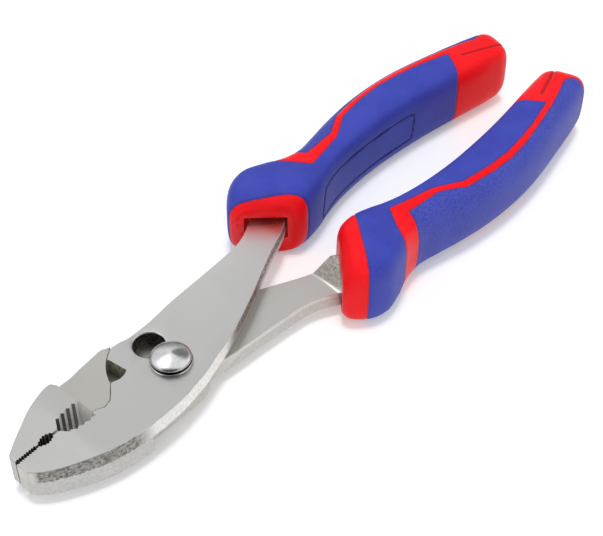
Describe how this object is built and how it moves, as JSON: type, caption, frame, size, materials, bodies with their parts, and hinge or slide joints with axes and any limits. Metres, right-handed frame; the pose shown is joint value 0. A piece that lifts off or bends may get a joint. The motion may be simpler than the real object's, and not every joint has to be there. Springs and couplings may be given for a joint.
{
  "type": "slip joint pliers",
  "caption": "Slip joint pliers with serrated bent-back jaws, a two-seat pivot bolt and curved two-colour moulded grips, lying flat and closed.",
  "frame": {"origin": "on the pivot bolt's axis, in the plane of the bolt's threaded end, which is the plane that the tool lies on", "axes": "+X from the bolt to the grips, +Z along the bolt towards its head, +Y towards the front lever's grip and the bolt's second seat"},
  "size_m": [0.2048, 0.0571, 0.0224],
  "materials": {
    "forged_steel": "satin nickel over forged steel",
    "bolt_steel": "polished",
    "nut_steel": "satin",
    "grip_red": "satin moulded plastic",
    "cover_blue": "soft touch",
    "panel_blue": "soft touch"
  },
  "bodies": {
    "front_half": {"front_lever": "forged_steel", "front_grip_core": "grip_red", "front_grip_cover": "cover_blue", "front_grip_panel": "panel_blue"},
    "pivot": {"pivot_bolt": "bolt_steel", "pivot_nut": "nut_steel"},
    "rear_half": {"rear_lever": "forged_steel", "rear_grip_core": "grip_red", "rear_grip_cover": "cover_blue", "rear_grip_panel": "panel_blue"}
  },
  "joints": [
    {"name": "slip", "type": "slide", "parent": "front_half", "child": "pivot", "axis": [0, 1, 0], "range_m": [0, 0.0079]},
    {"name": "jaw_pivot", "type": "hinge", "parent": "pivot", "child": "rear_half", "pos_m": [0, 0, 0], "axis": [0, 0, -1], "range_deg": [0, 45]}
  ]
}
